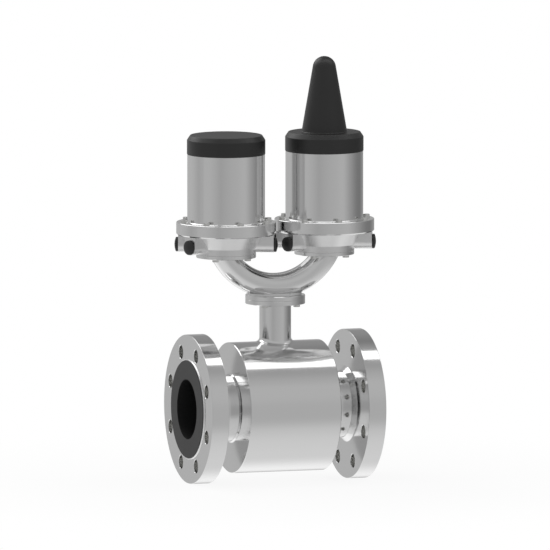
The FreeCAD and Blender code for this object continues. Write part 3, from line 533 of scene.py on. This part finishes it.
def sector_border(inner, outer):
    """Once round a sector that points along +X: outer arc, side, inner arc, side."""
    arc = np.radians(np.linspace(-half_sector, half_sector, arc_steps + 1))
    run = np.linspace(0, 1, side_steps + 1)
    outside = outer * np.stack([np.cos(arc), np.sin(arc)], 1)
    inside = inner * np.stack([np.cos(arc[::-1]), np.sin(arc[::-1])], 1)
    down = outside[-1] + run[:, None] * (inside[0] - outside[-1])
    back_up = inside[-1] + run[:, None] * (outside[0] - inside[-1])
    return np.concatenate([outside[:-1], down[:-1], inside[:-1], back_up[:-1]])


def hole_line(radius, border):
    """A circle round the bolt's place, with as many equal steps as the border has points."""
    count = len(border)
    first = np.arctan2(border[0, 1], border[0, 0] - bolt_circle_r)
    angle = first + 2 * np.pi * np.arange(count) / count
    return np.stack([bolt_circle_r + radius * np.cos(angle), radius * np.sin(angle)], 1)


print("a sector has", 2 * (arc_steps + side_steps), "points round its border")

# %% [markdown]
# The rows of a sector's grid lead from its border in front, over the broken edge of the hole,
# through the hole, and out to the border behind.

# %% Drilled sectors
def drilled_sectors(front, back, front_inner, back_inner, outer):
    """Front face, hole and back face as rows of one grid, repeated for the eight bolts."""
    near, far = sector_border(front_inner, outer), sector_border(back_inner, outer)
    rows = [(near, front), (hole_line(hole_r + hole_break, near), front),
            (hole_line(hole_r, near), front - hole_break),
            (hole_line(hole_r, far), back + hole_break),
            (hole_line(hole_r + hole_break, far), back), (far, back)]
    grid = np.stack([np.column_stack([line, np.full(len(line), level)]) for line, level in rows])
    turn = np.radians(half_sector + sector * np.arange(bolt_count))
    x, y, z = grid[..., 0], grid[..., 1], grid[..., 2]
    return [(np.stack([x * c - y * s, x * s + y * c, z], -1),
             quads(len(rows), len(near), close_rows=False))
            for c, s in zip(np.cos(turn), np.sin(turn))]


print("a flange is drilled in", bolt_count, "sectors of", sector, "degrees")

# %% [markdown]
# The holes are drilled and left as cut, so their walls are rougher than the polished faces, and a
# little darker as painted shade for the inside of the holes. The faces of the mesh that lie in a
# hole get a second material. They are found by their distance from the nearest bolt's axis.

# %% Dull and shade the bolt holes
def dull_and_shade_bores(piece, material):
    """Gives material to the faces inside a bolt hole. With a the bearing of a face from the
    nearest bolt, its distance from that bolt's axis is the root of r^2 + R^2 - 2 r R cos a."""
    mesh = piece.data
    centres = np.empty(len(mesh.polygons) * 3)
    mesh.polygons.foreach_get("center", centres)
    y, z = centres.reshape(-1, 3)[:, 1:].T / mm
    radius = np.hypot(y, z)
    bearing = np.mod(np.arctan2(z, y), math.radians(sector)) - math.radians(half_sector)
    distance = np.sqrt(radius ** 2 + bolt_circle_r ** 2
                       - 2 * radius * bolt_circle_r * np.cos(bearing))
    inside = distance < hole_r + 0.1
    mesh.materials.append(material)
    mesh.polygons.foreach_set("material_index", inside.astype(np.int32))
    print(piece.name, "has", int(inside.sum()), "faces in its holes")


print("bolt holes are found by their", 2 * bolt_circle_r, "mm circle")

# %% [markdown]
# In front of the disc lies a thin, brightly ground protection ring, and inside it the rubber
# lip, so that the ring shows as a bright line round the black. Disc and ring are made once,
# about +Z with the front face up, and then turned to face out at the inlet and at the outlet.

# %% Disc and ring about +Z
flange_t, flange_r, flange_edge, raised_h = 24.0, 100.0, 0.8, 2.0
lip_r, lip_seat, pipe_hole_r, weld_leg, weld_nose = 65.65, 1.0, 44.6, 6.0, 0.4
ring_width, ring_t = 1.35, 1.15
flat_r, weld_r = flange_r - 1.5 * flange_edge, pipe_hole_r + weld_nose + weld_leg
rim_line = rounded([(flat_r, flange_t), (flange_r, flange_t), (flange_r, 0), (flat_r, 0)],
                   [0, flange_edge, flange_edge, 0], closed=False)
inner_line = rounded([(weld_r, 0), (weld_r - weld_leg, -weld_leg), (pipe_hole_r, -weld_leg),
                      (pipe_hole_r, flange_t - lip_seat), (lip_r, flange_t - lip_seat),
                      (lip_r, flange_t)], 0, closed=False)
round_steps = bolt_count * arc_steps
disc = drilled_sectors(flange_t, 0.0, lip_r, weld_r, flat_r) + [
    (turned(line, round_steps), quads(len(line), round_steps, close_rows=False))
    for line in (rim_line, inner_line)]
ring_line = rounded([(lip_r, 0), (lip_r + ring_width, 0), (lip_r + ring_width, ring_t),
                     (lip_r, ring_t)], [0, 0, 0.35, 0.2])
ring = [(turned(ring_line, round_steps), quads(len(ring_line), round_steps))]
print("the disc has", len(disc), "grids, and the ring is", ring_width, "mm wide")

# %% [markdown]
# Each flange's box gives the outermost face, which is the lip's. The steel face lies one raised
# height behind it, and the ring stands on that.

# %% Flanges and protection rings
for end, name in ((-1, "inlet"), (1, "outlet")):
    low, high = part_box(name + "_flange")
    face = (high.x if end > 0 else low.x) / mm - end * raised_h
    steel_disc = [(pointing(points, (end, 0, 0), (face - end * flange_t, 0, 0)), faces)
                  for points, faces in disc]
    dull_and_shade_bores(make_piece(name + "_flange_disc", steel_disc, steel["pipe"], "meter",
                          [name + "_flange"]), steel["drilled"])
    make_piece(name + "_protection_ring",
               [(pointing(points, (end, 0, 0), (face, 0, 0)), faces) for points, faces in ring],
               steel["ground"], "meter")

# %% [markdown]
# ## Canister plates and their welds
#
# The thin plate under each canister is turned from sheet, and its upper edge is chamfered at 45
# degrees. The chamfer mirrors the soft box overhead as a fine white line along the front.
# A small concave weld joins the plate to the tube, and shows as a second fine line.

# %% Canister plates
plate_edge, weld, tube_wall = 0.6, 1.5, 2.0
for side in sides:
    low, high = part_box(side + "_canister_flange")
    inner, outer = tube_r[side] - tube_wall, (high.x - low.x) / 2 / mm
    thick = (high.z - low.z) / mm
    plate = rounded([(inner, 0), (outer, 0), (outer, thick - plate_edge),
                     (outer - plate_edge, thick), (inner, thick)], [0.1, 0.2, 0.12, 0.12, 0.1])
    make_piece(side + "_canister_plate", upright(plate, side, low.z / mm), steel[side], "meter",
               [side + "_canister_flange"])
    # A quarter circle, hollow side out, closed behind by a line 0.2 mm inside the tube's wall.
    sweep = np.linspace(1.5 * np.pi, np.pi, 9)
    hollow_curve = np.stack([tube_r[side] + weld + weld * np.cos(sweep),
                             weld + weld * np.sin(sweep)], 1)
    behind = tube_r[side] - 0.2
    fillet = np.concatenate([[(behind, 0)], hollow_curve, [(behind, weld)]])
    make_piece(side + "_canister_weld", upright(fillet, side, high.z / mm), steel[side], "meter")

# %% [markdown]
# ## The two black caps
#
# Both caps are moulded in black plastic and screw on a threaded collar. They share one outside
# and one inside, and differ only in what stands on top. A mould leaves a radius of about half a
# millimetre on every outer edge.

# %% Flat cap
low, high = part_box("display_lid")
cap_low, cap_r, cap_h = low.z / mm, (high.x - low.x) / 2 / mm, (high.z - low.z) / mm
side_h, bevel, top_t, bore_r, shoulder_r, bore_h = 18.9, 4.3, 3.5, 48.3, 44.0, 16.0
outside = [(bore_r, 0), (cap_r, 0), (cap_r, side_h), (cap_r - bevel, cap_h)]
inside = [(shoulder_r, cap_h - top_t), (shoulder_r, bore_h), (bore_r, bore_h)]
edges_outside, edges_inside = [0.3, 0.4, 0.6, 0.7], [0.5, 0.3, 0.3]
lid_line = rounded(outside + [(0, cap_h), (0, cap_h - top_t)] + inside,
                   edges_outside + [0, 0] + edges_inside)
make_piece("display_lid_moulding", upright(lid_line, "left", cap_low), plain["cap"],
           "display_lid_body", ["display_lid"])

# %% [markdown]
# The antenna dome is a cone that ends in a round nose: the nose is an arc that meets the cone
# without a corner, at the cone's own slope. The same curve, one wall thickness smaller, makes
# the hollow that the antenna rod stands in.

# %% Cap with the antenna dome
def cone_with_nose(base_r, base_h, tip_h, angle, steps=14):
    """Cone from its foot to the nose, then the nose: an arc of radius n about height c, where the
    cone is tangent to it: n = (base - height tan) / (1/cos - tan) and c = tip - n."""
    tangent, cosine = math.tan(angle), math.cos(angle)
    nose = (base_r - (tip_h - base_h) * tangent) / (1 / cosine - tangent)
    arc = np.linspace(angle, math.pi / 2, steps)
    curve = np.stack([nose * np.cos(arc), tip_h - nose + nose * np.sin(arc)], 1)
    return [(base_r, base_h)] + curve[:-1].tolist() + [[0.0, tip_h]]


tip_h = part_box("antenna_cap")[1].z / mm - cap_low
dome_r, dome_wall, slope, foot_round = 30.5, 3.0, math.radians(9.7), 1.2
dome = cone_with_nose(dome_r, cap_h, tip_h, slope)
hollow = cone_with_nose(dome_r - dome_wall, cap_h - top_t, tip_h - dome_wall, slope)[::-1]
no_edges = [0] * (len(dome) - 1 + len(hollow))
cap_line = rounded(outside + dome + hollow + inside,
                   edges_outside + [foot_round] + no_edges + edges_inside)
make_piece("antenna_cap_moulding", upright(cap_line, "right", cap_low), plain["cap"],
           "antenna_cap_body", ["antenna_cap"])

# %% [markdown]
# ## Blanking plugs
#
# Eight black plugs close the cable ports. Each has a plain round head with a short straight side
# and a shallow dome, as moulded rubber has. A scaled sphere would look blown up; the dome is a
# curve whose height falls with the square of the radius. The head is half a millimetre lower
# than the solid's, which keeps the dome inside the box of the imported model.

# %% Plugs
def plug_head(radius, height, bulge=1.9):
    """Outline from the back of the head, round its edge, and over the face, whose height falls
    from the middle by bulge * (r / radius)^2."""
    edge_w = 1.65
    face_r = np.linspace(1, 0, 9) * (radius - edge_w)
    face = np.stack([face_r, height - bulge * (face_r / radius) ** 2], 1)
    edge = rounded([(0, 0), (radius, 0), (radius, height - bulge), face[0]], [0, 0.2, 0.9, 0],
                   closed=False, steps=7)
    return turned(np.concatenate([edge, face[1:]]), 48)


plug_length, seat_h, head_h = 16.3, 5.3, 4.8
for node in [part["node"] for part in frame["record"]["subparts"] if "plug" in part["node"]]:
    low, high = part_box(node)
    middle = (low + high) / 2
    way = Vector((middle.x - canister_x["left" if middle.x < 0 else "right"], middle.y, 0))
    way.normalize()
    back_of_head = middle / mm + way * (plug_length / 2 - seat_h)
    head = plug_head((high.z - low.z) / 2 / mm, head_h)
    make_piece(node + "_head", [(pointing(head, way, back_of_head),
                                 quads(*head.shape[:2], close_rows=False))],
               plain["plug"], "meter", [node])

# %% [markdown]
# ## The reading
#
# Under the flat cap sits a display. Its figures are seven-segment digits: each digit is a set
# of small slanted bars, all worked out at once from a table of which bars light for which digit.

# %% Display figures
bars = np.array([[(-1, 2), (1, 2)], [(1, 2), (1, 0)], [(1, 0), (1, -2)], [(-1, -2), (1, -2)],
                 [(-1, 0), (-1, -2)], [(-1, 2), (-1, 0)], [(-1, 0), (1, 0)]], float)
lit = {"0": [0, 1, 2, 3, 4, 5], "4": [1, 2, 5, 6], "8": [0, 1, 2, 3, 4, 5, 6]}
gap, half_width, slant = 0.06, 0.055, 0.1


def seven_segments(text, height, pitch):
    """A flat quad for every lit bar: its two ends, drawn in by gap, plus and minus half_width
    across, both shares of a figure's height, and sheared by slant so that the figures lean."""
    ends = np.concatenate([bars[lit[figure]] * height / 4 + [[place * pitch, 0]]
                           for place, figure in enumerate(text)])
    along = ends[:, 1] - ends[:, 0]
    along = along / np.linalg.norm(along, axis=1, keepdims=True)
    across = np.stack([-along[:, 1], along[:, 0]], 1) * height * half_width
    start, end = ends[:, 0] + along * height * gap, ends[:, 1] - along * height * gap
    flat = np.stack([start - across, end - across, end + across, start + across], 1)
    flat[..., 0] += flat[..., 1] * slant - pitch * (len(text) - 1) / 2
    return np.concatenate([flat, np.zeros((*flat.shape[:2], 1))], -1)


figures = seven_segments("0840", height=14.0, pitch=10.5)
print(len(figures), "bars are lit")

# %% [markdown]
# The bars are given a small thickness, so that each is a closed solid, and they lie just above
# the display's window.

# %% Figures on the window
figure_t, above_window = 0.15, 0.01
low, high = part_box("display_module")
solid_bars = np.stack([figures, figures + [0, 0, figure_t]], 1).reshape(-1, 8, 3)
bar_faces = np.array([[0, 3, 2, 1], [4, 5, 6, 7], [0, 1, 5, 4], [1, 2, 6, 5], [2, 3, 7, 6],
                      [3, 0, 4, 7]])
numbered = (bar_faces[None] + 8 * np.arange(len(solid_bars))[:, None, None]).reshape(-1, 4)
window = np.array([(low.x + high.x) / 2 / mm, (low.y + high.y) / 2 / mm,
                   window_z / mm + above_window])
make_piece("display_figures", [(solid_bars + window, numbered)], plain["figures"], "meter")

# %% [markdown]
# ## The floor
#
# The floor is a disc of white studio paper. It is left out of mirror rays, because the lower
# half of the room already stands for the table there.

# %% Floor
floor_z, floor_r = cad_box[0].z, 2.0
turn = np.linspace(0, 2 * np.pi, 96, endpoint=False)
rim = np.stack([floor_r * np.cos(turn), floor_r * np.sin(turn), np.full(96, floor_z)], 1)
floor_mesh = bpy.data.meshes.new("floor")
floor_mesh.from_pydata(rim.tolist(), [], [list(range(96))])
floor = bpy.data.objects.new("floor", floor_mesh)
floor.visible_glossy = False
bpy.context.scene.collection.objects.link(floor)
print("floor at z =", round(floor_z, 4))

# %% [markdown]
# To the camera the paper is plain white, an emission of strength 1, with a tenth part of lit
# paper mixed in near the meter, so that the meter keeps a soft shadow. The share of lit paper
# falls smoothly to nothing further out. To everything else the paper is plain matt white.

# %% Paper
shadow_share, shadow_r, clear_r = 0.10, 0.2, 0.7
paper = bpy.data.materials.new("white studio paper")
paper.use_nodes = True
tree = paper.node_tree
tree.nodes.clear()
rays = add_node(tree, "ShaderNodeLightPath")
place = add_node(tree, "ShaderNodeTexCoord").outputs["Object"]
reach = add_node(tree, "ShaderNodeVectorMath", {0: place}, operation="LENGTH").outputs["Value"]
shadow = add_node(tree, "ShaderNodeMapRange",
                  {"Value": reach, "From Min": shadow_r, "From Max": clear_r,
                   "To Min": shadow_share, "To Max": 0.0},
                  interpolation_type="SMOOTHSTEP").outputs[0]
matt = add_node(tree, "ShaderNodeBsdfDiffuse", {"Color": linear("#F4F4F4")}).outputs[0]
white = add_node(tree, "ShaderNodeEmission",
                 {"Color": linear("#FFFFFF"), "Strength": 1.0}).outputs[0]
seen = add_node(tree, "ShaderNodeMixShader", {0: shadow, 1: white, 2: matt}).outputs[0]
final = add_node(tree, "ShaderNodeMixShader", {0: rays.outputs["Is Camera Ray"], 1: matt, 2: seen})
add_node(tree, "ShaderNodeOutputMaterial", {"Surface": final.outputs[0]})
floor_mesh.materials.append(paper)
print("the shadow fades out between", shadow_r, "and", clear_r, "m")

# %% [markdown]
# ## The room that the steel mirrors
#
# Polished steel is lit by what it mirrors, so the room is the light. Real product studios hang
# grey cards and flags round a bright object for this. Here the world does it: its colour is a
# function of direction, and of nothing else.

# %% Directions
world = bpy.data.worlds.new("studio room")
bpy.context.scene.world = world
world.use_nodes = True
tree = world.node_tree
tree.nodes.clear()
way = add_node(tree, "ShaderNodeTexCoord").outputs["Generated"]
split = add_node(tree, "ShaderNodeSeparateXYZ", {0: way})
across, depth, rise = split.outputs["X"], split.outputs["Y"], split.outputs["Z"]
bearing = add_node(tree, "ShaderNodeMath", {0: depth, 1: across}, operation="ARCTAN2").outputs[0]
print("a direction is read as across, depth and rise, and as a bearing")

# %% [markdown]
# Two ramps give the greys. The first goes with height: white paper straight below, a middle
# grey level with the meter, and a darker ceiling. The second goes with bearing, in degrees from
# +X: soft panels in front and at the rear left, and one dark flag on the right, which gives
# every upright tube its shaded edge.

# %% Greys by height and by bearing
greys_by_height = [
    (0.0, 0.90), (0.05, 0.85), (0.13, 0.82), (0.21, 0.77), (0.31, 0.68), (0.37, 0.60),
    (0.44, 0.59), (0.52, 0.62), (0.62, 0.64), (0.80, 0.64), (0.88, 0.56), (0.93, 0.47),
    (1.0, 0.47)]
greys_by_bearing = [
    (-177, 0.62), (-159, 0.62), (-142, 0.57), (-125, 0.50), (-109, 0.54), (-93, 0.57),
    (-76, 0.59), (-59, 0.62), (-50, 0.62), (-41, 0.56), (-31, 0.48), (-20, 0.41),
    (-8, 0.33), (5, 0.27), (22, 0.25), (48, 0.40), (71, 0.48), (94, 0.64), (109, 0.62),
    (120, 0.65), (137, 0.62), (150, 0.57), (162, 0.52), (173, 0.56)]
turns = [((degrees + 180) / 360, grey) for degrees, grey in greys_by_bearing]
greys = {}
for name, value, reach, stops in (("height", rise, 1.0, greys_by_height),
                                  ("bearing", bearing, math.pi, turns)):
    place = add_node(tree, "ShaderNodeMapRange",
                     {"Value": value, "From Min": -reach, "From Max": reach}).outputs[0]
    ramp = add_node(tree, "ShaderNodeValToRGB", {"Fac": place})
    elements = ramp.color_ramp.elements
    while len(elements) < len(stops):
        elements.new(0.5)
    for element, (at, grey) in zip(elements, stops):
        element.position = at
        element.color = (grey, grey, grey, 1.0)
    greys[name] = ramp.outputs[0]
print(len(greys_by_height), "greys by height and", len(greys_by_bearing), "by bearing")

# %% [markdown]
# Everything else in the room eases in and out: a share that holds one level up to a start, goes
# over smoothly, and holds another from a stop on. The ramp by bearing takes over near the
# horizon. The table glows below, brighter to the rear, a little to the left, and to the right
# straight under the meter. The ceiling is dimmer to the rear, most of all on the right.

# %% Shares of the room
tilted = add_node(tree, "ShaderNodeMath", {0: rise, 1: 0.1}, operation="ADD").outputs[0]
off_horizon = add_node(tree, "ShaderNodeMath", {0: tilted}, operation="ABSOLUTE").outputs[0]
share = {}
for name, value, start, stop, at_start, at_stop in (
        ("near the horizon", off_horizon, 0.12, 0.5, 1.0, 0.0),
        ("below", rise, -0.45, -0.15, 1.0, 0.0),
        ("rear glow", depth, 0.05, 0.95, 0.0, 0.75),
        ("left glow", across, -0.5, 0.1, 0.16, 0.04),
        ("right glow", across, 0.25, 0.6, 0.0, 0.3),
        ("straight below", rise, -0.85, -0.6, 1.0, 0.0),
        ("rear", depth, 0.05, 0.5, 0.0, 1.0),
        ("above", rise, 0.12, 0.35, 0.0, 1.0),
        ("dimmed", across, -0.3, 0.2, 0.1, 0.42)):
    share[name] = add_node(tree, "ShaderNodeMapRange",
                           {"Value": value, "From Min": start, "From Max": stop,
                            "To Min": at_start, "To Max": at_stop},
                           interpolation_type="SMOOTHSTEP").outputs[0]
print("shares of the room:", ", ".join(share))

# %% [markdown]
# The shares are put together one after another: each step names two numbers made before it and
# what is done with them. The result is the table's glow times the ceiling's dimming, and that
# multiplies the greys. It is what puts the dark band over the white one on the flange rims.

# %% Glowing table, dim rear ceiling
share["one"] = 1.0
for name, first, operation, second in (
        ("glow", "rear glow", "ADD", "left glow"),
        ("right glow below", "right glow", "MULTIPLY", "straight below"),
        ("whole glow", "glow", "ADD", "right glow below"),
        ("glow below", "below", "MULTIPLY", "whole glow"),
        ("table", "glow below", "ADD", "one"),
        ("rear and above", "rear", "MULTIPLY", "above"),
        ("dimming", "rear and above", "MULTIPLY", "dimmed"),
        ("ceiling", "one", "SUBTRACT", "dimming"),
        ("table and ceiling", "ceiling", "MULTIPLY", "table")):
    share[name] = add_node(tree, "ShaderNodeMath", {0: share[first], 1: share[second]},
                           operation=operation).outputs[0]
room_grey = add_node(tree, "ShaderNodeMix",
                     {"Factor": share["near the horizon"], 6: greys["height"],
                      7: greys["bearing"]}, data_type="RGBA").outputs[2]
room_colour = add_node(tree, "ShaderNodeMix",
                       {"Factor": 1.0, 6: room_grey, 7: share["table and ceiling"]},
                       data_type="RGBA", blend_type="MULTIPLY").outputs[2]
print("the room's colour takes", len(tree.nodes), "nodes")

# %% [markdown]
# Last, who sees what. The camera, and anything looked at through clear material, sees a plain
# white background with a strength of 1. Mirror rays see the pale room with its shades, and it
# gives the matt pieces a little more light than it shows in the steel.

# %% Background and room
light_on_matt, light_in_steel = 1.3, 0.8
rays = add_node(tree, "ShaderNodeLightPath")
straight = add_node(tree, "ShaderNodeMath",
                    {0: rays.outputs["Is Camera Ray"], 1: rays.outputs["Is Transmission Ray"]},
                    operation="MAXIMUM").outputs[0]
strength = add_node(tree, "ShaderNodeMapRange",
                    {"Value": rays.outputs["Is Glossy Ray"], "To Min": light_on_matt,
                     "To Max": light_in_steel}).outputs[0]
room = add_node(tree, "ShaderNodeBackground", {"Color": room_colour, "Strength": strength})
blank = add_node(tree, "ShaderNodeBackground", {"Color": linear("#FFFFFF"), "Strength": 1.0})
final = add_node(tree, "ShaderNodeMixShader",
                 {0: straight, 1: room.outputs[0], 2: blank.outputs[0]})
add_node(tree, "ShaderNodeOutputWorld", {"Surface": final.outputs[0]})
print("room with", len(tree.nodes), "nodes")

# %% [markdown]
# ## Soft boxes
#
# Three soft boxes hang in the room: a long one above the front of the pipe, whose mirror image
# is the white band along the housing and over both flange rims, a wide one behind on the left,
# and a small one above the inlet. They are area lamps, so they also throw soft shadows.

# %% Soft boxes
def soft_box(name, middle, towards, width, height, level):
    """A rectangular lamp facing a point. Its power is level * pi * area, so that it looks level
    times white."""
    light = bpy.data.lights.new(name, "AREA")
    light.shape = "RECTANGLE"
    light.size, light.size_y = width, height
    light.energy = level * math.pi * width * height
    lamp = bpy.data.objects.new(name, light)
    lamp.location = middle
    facing = Vector(towards) - Vector(middle)
    lamp.rotation_euler = facing.to_track_quat("-Z", "Y").to_euler()
    bpy.context.scene.collection.objects.link(lamp)
    print(name, "gives", round(light.energy, 2), "W")


soft_box("front soft box", middle=(0.42, -0.16, 1.2), towards=(0.42, -0.16, 0.0),
         width=1.3, height=0.35, level=1.3)
soft_box("rear soft box", middle=(-0.47, 0.75, 1.08), towards=(0.0, 0.0, 0.0),
         width=0.80, height=0.90, level=1.7)
soft_box("upper soft box", middle=(-0.50, 0.08, 1.2), towards=(-0.50, 0.08, 0.0),
         width=0.5, height=0.22, level=1.5)

# %% [markdown]
# ## Camera
#
# The meter is looked at from its front left, a little above, with no perspective to speak of,
# so the camera is orthographic. It stands 2 m away from a point half way up the meter.

# %% Camera
azimuth, elevation = math.radians(-19.0), math.radians(6.15)
view_width, aim_up, aim_right, distance = 0.7357, 175.3 * mm, -0.3 * mm, 2.0
back = np.array([math.sin(azimuth) * math.cos(elevation),
                 -math.cos(azimuth) * math.cos(elevation), math.sin(elevation)])
right = np.array([math.cos(azimuth), math.sin(azimuth), 0])
up = np.cross(back, right)
lens = bpy.data.cameras.new("camera")
lens.type = "ORTHO"
lens.ortho_scale = view_width
camera = bpy.data.objects.new("camera", lens)
camera.rotation_euler = (math.pi / 2 - elevation, 0, azimuth)
camera.location = (up * aim_up + right * aim_right + back * distance).tolist()
bpy.context.scene.collection.objects.link(camera)
bpy.context.scene.camera = camera
bpy.context.scene.view_settings.view_transform = "Standard"
print("camera at", [round(c, 3) for c in camera.location])
